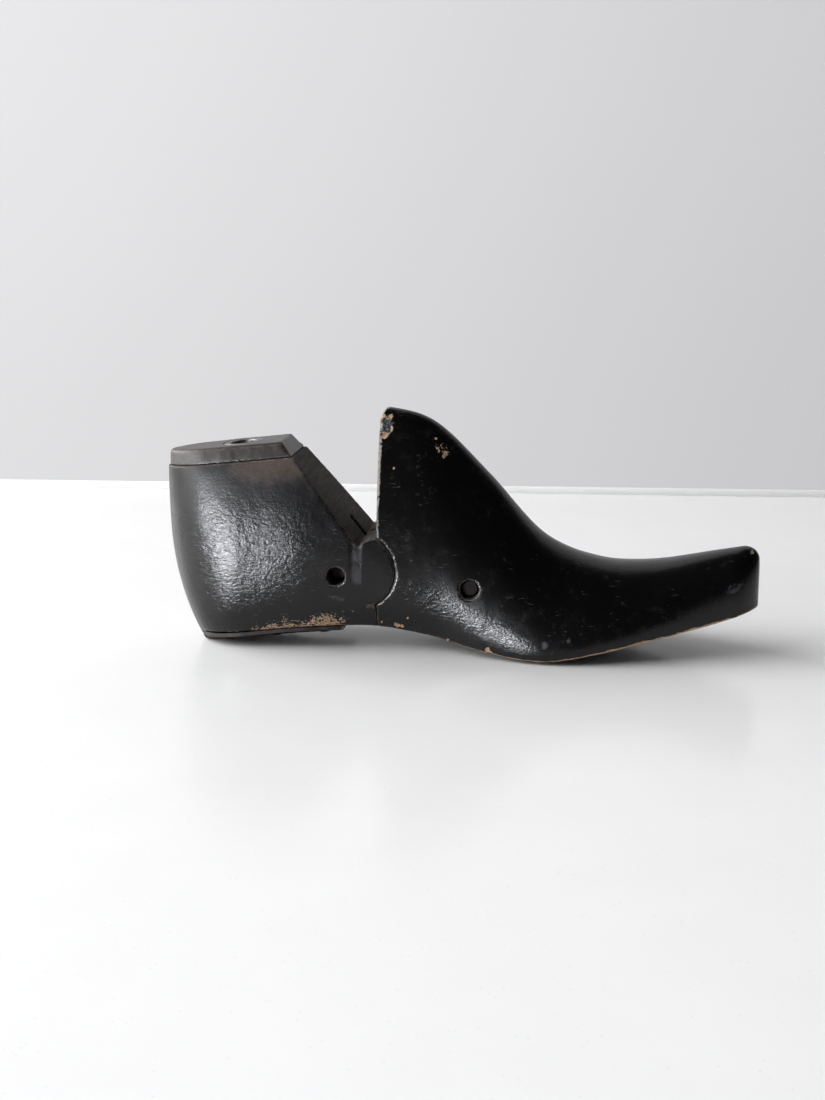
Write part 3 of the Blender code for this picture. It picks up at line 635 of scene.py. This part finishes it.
def wooden_half(half, node, body, build, voxel, material):
    """Fine copy of one wooden half that stands for its CAD node."""
    exact = build()
    obj = bpy.data.objects.new(half + "_half", exact.data.copy())
    bpy.context.scene.collection.objects.link(obj)
    soften(obj, exact, voxel, SMOOTH_ROUNDS)
    bpy.data.objects.remove(exact)
    wear_out(obj, half)
    obj.data.transform(TO_FRAME)
    obj.data.shade_smooth()
    obj.data.materials.clear()
    obj.data.materials.append(material)
    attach(obj, body)
    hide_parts(node)
    return obj


# ---- materials -----------------------------------------------------------------------
class Shader:
    """A Principled material with short calls for the nodes that feed it."""

    def __init__(self, name):
        self.material = bpy.data.materials.new(name)
        self.material.use_nodes = True
        self.tree = self.material.node_tree
        self.bsdf = self.tree.nodes["Principled BSDF"]
        place = self.tree.nodes.new("ShaderNodeTexCoord").outputs["Object"]
        scaled = self.tree.nodes.new("ShaderNodeVectorMath")
        scaled.operation = "SCALE"
        scaled.inputs["Scale"].default_value = 1.0 / MM
        self.tree.links.new(place, scaled.inputs[0])
        self.place = scaled.outputs[0]

    def put(self, socket, value):
        """Link a node's output to a socket, or set the socket to a constant."""
        if isinstance(value, bpy.types.NodeSocket):
            self.tree.links.new(value, socket)
        elif isinstance(value, tuple):
            socket.default_value = (*value, 1.0) if len(socket.default_value) == 4 else value
        else:
            socket.default_value = value

    def set(self, **values):
        for name, value in values.items():
            self.put(self.bsdf.inputs[name.replace("_", " ")], value)

    def math(self, operation, a, b=0.0):
        node = self.tree.nodes.new("ShaderNodeMath")
        node.operation = operation
        self.put(node.inputs[0], a)
        self.put(node.inputs[1], b)
        return node.outputs[0]

    def read(self, name):
        """A number stored on the vertices."""
        node = self.tree.nodes.new("ShaderNodeAttribute")
        node.attribute_name = name
        return node.outputs["Fac"]

    def stretched(self, scale, turn=(0.0, 0.0, 0.0), shift=(0.0, 0.0, 0.0)):
        """Coordinates for noise that is drawn out, turned and shifted."""
        node = self.tree.nodes.new("ShaderNodeMapping")
        node.vector_type = "POINT"
        self.put(node.inputs["Vector"], self.place)
        node.inputs["Rotation"].default_value = turn
        node.inputs["Scale"].default_value = scale
        node.inputs["Location"].default_value = shift
        return node.outputs[0]

    def along_x(self):
        """Millimetres along X."""
        node = self.tree.nodes.new("ShaderNodeSeparateXYZ")
        self.put(node.inputs[0], self.place)
        return node.outputs["X"]

    def noise(self, size, detail=3.0, rough=0.5, where=None, warp=0.0):
        """Noise whose features are about size millimetres across."""
        node = self.tree.nodes.new("ShaderNodeTexNoise")
        self.put(node.inputs["Vector"], where or self.place)
        node.inputs["Scale"].default_value = 1.0 / size
        node.inputs["Detail"].default_value = detail
        node.inputs["Roughness"].default_value = rough
        node.inputs["Distortion"].default_value = warp
        return node.outputs["Fac"]

    def cells(self, size):
        """Distance from the middle of round cells about size millimetres across."""
        node = self.tree.nodes.new("ShaderNodeTexVoronoi")
        self.put(node.inputs["Vector"], self.place)
        node.inputs["Scale"].default_value = 1.0 / size
        return node.outputs["Distance"]

    def step(self, value, low, high):
        """0 below low, 1 above high, smooth in between; falls if low is above high."""
        node = self.tree.nodes.new("ShaderNodeMapRange")
        node.interpolation_type = "SMOOTHSTEP"
        rising = low < high
        self.put(node.inputs["Value"], value)
        node.inputs["From Min"].default_value = min(low, high)
        node.inputs["From Max"].default_value = max(low, high)
        node.inputs["To Min"].default_value = 0.0 if rising else 1.0
        node.inputs["To Max"].default_value = 1.0 if rising else 0.0
        return node.outputs[0]

    def scale(self, value, low, high):
        """Map 0..1 to low..high."""
        node = self.tree.nodes.new("ShaderNodeMapRange")
        self.put(node.inputs["Value"], value)
        node.inputs["To Min"].default_value = low
        node.inputs["To Max"].default_value = high
        return node.outputs[0]

    def blend(self, share, a, b):
        """Colour a where share is 0, b where it is 1."""
        node = self.tree.nodes.new("ShaderNodeMix")
        node.data_type = "RGBA"
        self.put(node.inputs["Factor"], share)
        self.put(node.inputs["A"], a)
        self.put(node.inputs["B"], b)
        return node.outputs["Result"]

    def mix(self, share, a, b):
        """Number a where share is 0, b where it is 1."""
        node = self.tree.nodes.new("ShaderNodeMix")
        self.put(node.inputs["Factor"], share)
        self.put(node.inputs["A"], a)
        self.put(node.inputs["B"], b)
        return node.outputs["Result"]

    def times(self, *values):
        product = values[0]
        for value in values[1:]:
            product = self.math("MULTIPLY", product, value)
        return product

    def most(self, *values):
        top = values[0]
        for value in values[1:]:
            top = self.math("MAXIMUM", top, value)
        return top

    def bump(self, height, depth, below=None):
        """Relief whose height output of 1 stands depth millimetres high."""
        node = self.tree.nodes.new("ShaderNodeBump")
        node.inputs["Strength"].default_value = 1.0
        node.inputs["Distance"].default_value = depth * MM
        self.put(node.inputs["Height"], height)
        if below is not None:
            self.put(node.inputs["Normal"], below)
        return node.outputs[0]


def scratches(s, turn, length, width, seed, share):
    """Sparse thin strokes, all in about one direction."""
    where = s.stretched((1.0 / length, 1.0 / width, 1.0 / width), turn, (seed, seed * 2.0, seed * 3.0))
    fine = s.noise(1.0, 1.0, 0.4, where, 0.15)
    return s.step(fine, 1.0 - share, 1.0 - share + 0.05)


def lacquered_wood():
    """Old black lacquer, glossy and crinkled, worn to the maple along its edges, with painted
    highlights: light grey along the rims and on the planed flat.
    """
    s = Shader("old_black_lacquer")
    sawn, chip, scuff_and_facet_sheen = s.read("sawn"), s.read("chip"), s.read("scuff_and_facet_sheen")
    to_rim, to_feather = s.read("to_rim"), s.read("to_feather")
    rubbed, flaked, crinkled = s.read("rubbed"), s.read("flaked"), s.read("crinkled")
    peeled, dulled = s.read("peeled"), s.read("dulled")
    cloud = s.noise(26.0, 4.0, 0.55)
    mottle = s.noise(4.5, 4.0, 0.6)
    fine = s.noise(0.9, 3.0, 0.6)
    grain = s.noise(1.0, 4.0, 0.6, s.stretched((0.06, 1.0, 0.9)))

    film = s.blend(cloud, (0.0005, 0.0004, 0.0006), (0.0018, 0.0016, 0.0020))
    haze = s.times(s.step(mottle, 0.50, 0.76), s.step(cloud, 0.38, 0.66))
    film = s.blend(s.times(haze, 0.20), film, (0.020, 0.020, 0.023))
    strokes = s.most(
        scratches(s, (0.0, 1.2, 0.3), 7.0, 0.26, 1.0, 0.25),
        scratches(s, (0.0, -0.7, 0.2), 5.0, 0.22, 5.0, 0.25),
        scratches(s, (0.0, 1.6, -0.2), 10.0, 0.20, 9.0, 0.24),
        scratches(s, (0.0, 0.1, 0.4), 4.0, 0.24, 13.0, 0.24),
    )
    strokes = s.times(strokes, s.step(s.noise(9.0, 2.0), 0.47, 0.62))
    film = s.blend(s.times(strokes, 0.40), film, (0.10, 0.10, 0.115))
    # Scuffs lighten the film to grey; on the planed flat the same grey is a painted highlight.
    scuffed_and_facet_sheen = s.times(scuff_and_facet_sheen, s.step(s.math("ADD", mottle, s.times(fine, 0.5)), 0.55, 0.90))
    film = s.blend(s.times(scuffed_and_facet_sheen, 0.75), film, (0.075, 0.075, 0.085))
    rub_cloud = s.step(s.math("ADD", s.times(mottle, 0.8), s.times(rubbed, 0.55)), 0.50, 0.86)
    brown = s.blend(fine, (0.045, 0.030, 0.022), (0.120, 0.084, 0.062))
    film = s.blend(s.times(rubbed, rub_cloud, 0.75), film, brown)
    pebbles = s.cells(1.1)
    film = s.blend(peeled, film, s.blend(pebbles, (0.090, 0.098, 0.110), (0.020, 0.022, 0.026)))

    maple = s.blend(grain, (0.34, 0.205, 0.110), (0.60, 0.42, 0.27))
    maple = s.blend(s.times(s.step(mottle, 0.5, 0.7), 0.6), maple, (0.16, 0.10, 0.065))
    ragged = s.math("ADD", s.times(mottle, 1.3), s.times(fine, 0.7))
    rim_wear_and_glint, worn_foot = s.read("rim_wear_and_glint"), s.read("worn_foot")
    rim = s.step(s.math("DIVIDE", to_rim, s.times(rim_wear_and_glint, ragged)), 1.15, 0.85)
    rim = s.times(rim, s.step(s.noise(3.0, 2.0), 0.34, 0.44))
    broken = s.math("SUBTRACT", s.times(ragged, 1.9), 0.95)
    sole = s.step(s.math("DIVIDE", to_feather, s.times(worn_foot, s.most(broken, 0.05))), 1.15, 0.90)
    flecks = s.math("ADD", s.times(s.noise(1.1, 3.0, 0.7), 0.8), s.times(mottle, 0.45))
    spots = s.step(s.math("ADD", flecks, s.times(flaked, 0.23)), 0.825, 0.850)
    spots = s.times(spots, s.step(flaked, 0.02, 0.12))
    bare = s.most(sole, s.step(chip, 0.35, 0.6), spots)
    border = s.times(s.step(peeled, 0.08, 0.30), s.step(peeled, 0.85, 0.55), s.step(mottle, 0.44, 0.52))
    bare = s.most(bare, border)

    saw_marks = s.noise(1.0, 4.0, 0.7, s.stretched((0.9, 0.06, 0.9)))
    end_wood = s.blend(s.step(saw_marks, 0.30, 0.70), (0.014, 0.010, 0.008), (0.100, 0.078, 0.066))
    end_wood = s.blend(s.times(s.step(cloud, 0.45, 0.7), 0.5), end_wood, (0.020, 0.016, 0.014))

    # Rims are painted light grey: edges worn round, lightened as a painted highlight of the light they
    # catch.
    colour = s.blend(s.times(rim, 0.8), film, s.blend(fine, (0.20, 0.18, 0.16), (0.52, 0.47, 0.41)))
    colour = s.blend(bare, colour, maple)
    colour = s.blend(sawn, colour, end_wood)
    gloss = s.mix(cloud, 0.22, 0.31)
    gloss = s.mix(s.times(haze, 0.6), gloss, 0.42)
    gloss = s.mix(s.times(rubbed, 0.8), gloss, 0.52)
    gloss = s.mix(s.times(scuffed_and_facet_sheen, 0.8), gloss, 0.55)
    gloss = s.mix(s.times(crinkled, 0.6), gloss, 0.19)
    gloss = s.mix(s.times(dulled, 0.4), gloss, 0.38)
    gloss = s.mix(s.most(bare, rim), gloss, 0.72)
    gloss = s.mix(sawn, gloss, 0.80)

    wrinkle = s.noise(1.5, 3.0, 0.6, warp=1.0)
    brushed = s.noise(1.3, 3.0, 0.6, s.stretched((0.22, 1.0, 1.0), (0.0, 0.14, 0.0)), 0.5)
    creases = s.math("ABSOLUTE", s.math("SUBTRACT", s.noise(3.6, 2.0, 0.5, warp=0.8), 0.5))
    crinkle = s.math("ADD", s.times(wrinkle, 0.7), s.times(brushed, 0.5))
    crinkle = s.math("SUBTRACT", crinkle, s.times(creases, 0.8))
    normal = s.bump(s.times(crinkle, crinkled), 0.20)
    normal = s.bump(mottle, 0.05, normal)
    normal = s.bump(s.times(pebbles, peeled, -1.0), 0.4, normal)
    normal = s.bump(s.mix(bare, s.times(strokes, -0.4), s.times(grain, 1.6)), 0.10, normal)
    normal = s.bump(s.mix(sawn, s.times(fine, 0.35), saw_marks), 0.08, normal)
    s.set(Base_Color=colour, Roughness=gloss, Normal=normal)
    s.set(Specular_IOR_Level=0.36)
    return s.material


def top_plate_wood():
    """The heel's top plate: lacquer rubbed thin, grey with a brown middle."""
    s = Shader("worn_top_plate")
    cloud = s.noise(16.0, 4.0, 0.6)
    mottle = s.noise(3.2, 4.0, 0.65)
    fine = s.noise(0.7, 3.0, 0.6)
    grain = s.noise(1.0, 3.0, 0.6, s.stretched((0.05, 1.0, 1.0)))
    colour = s.blend(cloud, (0.010, 0.008, 0.0075), (0.046, 0.034, 0.030))
    colour = s.blend(s.times(s.step(mottle, 0.46, 0.72), 0.5), colour, (0.075, 0.066, 0.064))
    colour = s.blend(s.times(s.step(grain, 0.55, 0.72), 0.45), colour, (0.014, 0.012, 0.011))
    rim = s.step(s.math("ADD", s.read("to_rim"), s.times(mottle, 2.4)), 1.55, 0.95)
    colour = s.blend(s.times(rim, 0.4), colour, (0.13, 0.11, 0.095))
    rough = s.mix(mottle, 0.30, 0.48)
    normal = s.bump(mottle, 0.10)
    normal = s.bump(s.math("ADD", s.times(grain, 0.7), s.times(fine, 0.4)), 0.08, normal)
    s.set(Base_Color=colour, Roughness=rough, Normal=normal)
    return s.material


def worn_steel(name, dark, light, rust, rough):
    """Old steel: mottled tone, scratched, with rust in patches."""
    s = Shader(name)
    cloud = s.noise(7.0, 4.0, 0.6)
    fine = s.noise(0.6, 3.0, 0.6)
    brushed = s.noise(0.35, 2.0, 0.5, s.stretched((0.12, 1.0, 1.0), (0.0, 0.0, 0.4)))
    patch = s.step(s.math("ADD", s.times(cloud, 0.8), s.times(fine, 0.3)), 0.60, 0.72)
    colour = s.blend(cloud, dark, light)
    colour = s.blend(s.times(patch, rust), colour, (0.105, 0.050, 0.026))
    s.set(Base_Color=colour, Metallic=s.mix(s.times(patch, rust), 1.0, 0.15))
    s.set(Roughness=s.mix(s.times(patch, rust), s.scale(fine, rough - 0.08, rough + 0.14), 0.85))
    s.set(Normal=s.bump(s.math("ADD", s.times(brushed, 0.5), fine), 0.03, s.bump(cloud, 0.08)))
    return s.material


# ---- pieces ---------------------------------------------------------------------------
def worn_top_plate(material):
    """Copy of the top plate with its rims worn round."""
    node = frame["nodes"]["top_plate"]
    obj = bpy.data.objects.new("worn_top_plate", node.data.copy())
    exact = bpy.data.objects.new("exact_top_plate", node.data.copy())
    for item in (obj, exact):
        bpy.context.scene.collection.objects.link(item)
        item.data.transform(TO_FRAME.inverted())
    soften(obj, exact, 0.45, 4)
    bpy.data.objects.remove(exact)
    points = coordinates(obj.data)
    inside = np.array(top_frame().inverted())
    height = points @ inside[2, :3] + inside[2, 3]
    from_bore = np.hypot(points[:, 0] - THIMBLE_X, points[:, 1])
    free = smoothstep(1.2, 2.6, height) * smoothstep(10.0, 12.5, from_bore)
    group = obj.vertex_groups.new(name="free")
    for i, weight in enumerate(free):
        group.add([i], float(weight), "REPLACE")
    rounded = obj.modifiers.new("rounded", "SMOOTH")
    rounded.factor = 0.5
    rounded.iterations = PLATE_ROUNDS
    rounded.vertex_group = "free"
    freeze(obj)
    mesh = obj.data
    points = coordinates(mesh)
    height = points @ inside[2, :3] + inside[2, 3]
    top = height.max()
    upper = points[np.abs(height - top + 1.1) < 0.35]
    lower = points[np.abs(height - height.min() - 0.35) < 0.3]
    store(mesh, "to_rim", nearest(points, np.vstack((upper, lower)), 6.0))
    move = 0.10 * bumps(points, 9.0, 7) + 0.05 * bumps(points, 2.5, 8) - 0.08
    points += normals_of(mesh) * move[:, None]
    mesh.vertices.foreach_set("co", points.ravel())
    mesh.transform(TO_FRAME)
    mesh.shade_smooth()
    mesh.materials.clear()
    mesh.materials.append(material)
    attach(obj, "heel_body")
    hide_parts("top_plate")
    return obj


def dress(node, material, width):
    """Give a CAD node its material and take the sharpness off its edges."""
    obj = frame["nodes"][node]
    for i in range(len(obj.material_slots)):
        obj.material_slots[i].material = material
    soft = obj.modifiers.new("soft_edges", "BEVEL")
    soft.width = width * MM
    soft.segments = 2
    soft.limit_method = "ANGLE"
    soft.angle_limit = math.radians(40.0)


# ---- stage, light and camera --------------------------------------------------------------
# Metres, except WALL_FADE.
TABLE_BACK = 0.353       # where the table ends behind the last
TABLE_THICK = 0.03
TABLE_LIP = 0.0034       # radius of the table's rounded back edge
WALL_BACK = 0.80
WALL_HALF = 1.1
WALL_FADE = 650.0        # the wall's painted glow fades from this far left to this far right, millimetres
REACH = 3.0              # how far the table goes on to the sides and to the front
LAMP_DISTANCE = 2.6
LAMP_AIM = 0.04          # height that the lamps are aimed at


def stage_object(name, bm, material):
    obj = new_object(name, bm)
    obj.data.materials.append(material)
    return obj


def table_material():
    s = Shader("white_table")
    speck = s.step(s.cells(2.4), 0.20, 0.08)
    soft = s.noise(30.0, 3.0)
    colour = s.blend(soft, (0.86, 0.86, 0.865), (0.90, 0.90, 0.90))
    colour = s.blend(s.times(speck, s.step(s.noise(7.0), 0.5, 0.6), 0.25), colour, (0.62, 0.61, 0.60))
    s.set(Base_Color=colour, Roughness=s.scale(s.noise(3.0), 0.14, 0.22))
    s.set(Specular_IOR_Level=0.25)
    return s.material


def wall_material():
    s = Shader("pale_wall_painted_glow")
    s.set(Base_Color=s.blend(s.noise(400.0), (0.16, 0.16, 0.16), (0.18, 0.18, 0.18)), Roughness=0.9)
    # The wall glows with painted light: brighter on the left and darker to the right, standing in for
    # the window's fall-off.
    s.set(Specular_IOR_Level=0.1, Emission_Strength=1.0)
    across = s.step(s.along_x(), -WALL_FADE, WALL_FADE)
    s.set(Emission_Color=s.blend(across, (0.64, 0.64, 0.65), (0.465, 0.455, 0.47)))
    return s.material


def build_stage():
    white = table_material()
    bm = bmesh.new()
    bmesh.ops.create_cube(bm, size=1.0)
    bmesh.ops.scale(bm, vec=(2 * REACH, REACH + TABLE_BACK, TABLE_THICK), verts=bm.verts)
    middle = (0.0, (TABLE_BACK - REACH) / 2, -TABLE_THICK / 2)
    bmesh.ops.translate(bm, vec=middle, verts=bm.verts)
    stage_object("table", bm, white)
    bm = bmesh.new()
    place = Matrix.Translation((0.0, TABLE_BACK, TABLE_LIP / 2 - 0.001))
    place = place @ Matrix.Rotation(math.pi / 2, 4, "Y")
    bmesh.ops.create_cone(bm, cap_ends=True, segments=32, radius1=TABLE_LIP, radius2=TABLE_LIP,
                          depth=2 * REACH, matrix=place)
    for face in bm.faces:
        face.smooth = True
    stage_object("table_lip", bm, white)
    bm = bmesh.new()
    upright = Matrix.Translation((0.0, WALL_BACK, WALL_HALF / 2)) @ Matrix.Rotation(math.pi / 2, 4, "X")
    bmesh.ops.create_grid(bm, x_segments=1, y_segments=1, size=WALL_HALF, matrix=upright)
    stage_object("wall", bm, wall_material())


def area_light(name, azimuth, elevation, width, height, power, colour):
    """Soft light aimed at the last; azimuth 0 is in front and grows towards the heel."""
    data = bpy.data.lights.new(name, "AREA")
    data.shape = "RECTANGLE"
    data.size, data.size_y = width, height
    data.energy = power
    data.color = colour
    lamp = bpy.data.objects.new(name, data)
    bpy.context.scene.collection.objects.link(lamp)
    a, e = math.radians(azimuth), math.radians(elevation)
    away = Vector((-math.sin(a) * math.cos(e), -math.cos(a) * math.cos(e), math.sin(e)))
    lamp.location = away * LAMP_DISTANCE + Vector((0.0, 0.0, LAMP_AIM))
    lamp.rotation_euler = away.to_track_quat("Z", "Y").to_euler()
    return lamp


def build_light():
    """A big soft window from the heel's side, and a small low one for the gleam alone."""
    area_light("window", 90.0, 29.0, 4.6, 2.5, 225.0, (0.995, 0.997, 1.0))
    gleam = area_light("low_window", 35.0, 1.8, 0.72, 0.38, 72.0, (0.93, 0.95, 1.0))
    gleam.visible_diffuse = False
    world = bpy.data.worlds.new("dim_room")
    bpy.context.scene.world = world
    world.use_nodes = True
    room = world.node_tree.nodes["Background"]
    room.inputs["Color"].default_value = (0.95, 0.97, 1.0, 1.0)
    room.inputs["Strength"].default_value = 0.03
    settings = bpy.context.scene.view_settings
    settings.view_transform = "Standard"
    settings.look = "None"


CAMERA_FROM_HINGE = Vector((84.2, -618.0, 138.7))    # millimetres
CAMERA_TURN = 5.91       # degrees to the left of straight at the last
CAMERA_DIP = 12.25
CAMERA_ROLL = -0.26


def build_camera():
    turn, dip, roll = (math.radians(a) for a in (CAMERA_TURN, CAMERA_DIP, CAMERA_ROLL))
    ahead = Vector((-math.sin(turn) * math.cos(dip), math.cos(turn) * math.cos(dip), -math.sin(dip)))
    right = Vector((math.cos(turn), math.sin(turn), 0.0))
    up = right.cross(ahead)
    level_right, level_up = right, up
    right = level_right * math.cos(roll) + level_up * math.sin(roll)
    up = level_up * math.cos(roll) - level_right * math.sin(roll)
    data = bpy.data.cameras.new("camera")
    data.lens = 50.0
    data.sensor_width = 36.0
    camera = bpy.data.objects.new("camera", data)
    bpy.context.scene.collection.objects.link(camera)
    axes = Matrix((right, up, -ahead)).transposed().to_4x4()
    camera.matrix_world = Matrix.Translation(Vector(HINGE["pos_m"]) + CAMERA_FROM_HINGE * MM) @ axes
    bpy.context.scene.camera = camera


def main():
    lacquer = lacquered_wood()
    wooden_half("heel", "heel_block", "heel_body", exact_heel, VOXEL_HEEL, lacquer)
    wooden_half("fore", "forepart", "fore_body", exact_fore, VOXEL_FORE, lacquer)
    worn_top_plate(top_plate_wood())
    thimble_steel = worn_steel("thimble_steel", (0.06, 0.055, 0.05), (0.26, 0.25, 0.24), 0.6, 0.34)
    plate_steel = worn_steel("plate_steel", (0.007, 0.006, 0.006), (0.050, 0.046, 0.044), 0.2, 0.46)
    spring_steel = worn_steel("spring_steel", (0.03, 0.03, 0.032), (0.12, 0.12, 0.125), 0.6, 0.40)
    dress("jack_thimble", thimble_steel, 0.2)
    dress("heel_plate", plate_steel, 0.3)
    for node in sorted(frame["nodes"]):
        if node.startswith("heel_plate_nail"):
            dress(node, plate_steel, 0.15)
    pin_steel = worn_steel("pin_steel", (0.008, 0.007, 0.007), (0.040, 0.037, 0.036), 0.8, 0.45)
    for node in ("front_pin", "rear_pin"):
        dress(node, pin_steel, 0.2)
    dress("spring_link", spring_steel, 0.3)
    build_stage()
    build_light()
    build_camera()


main()
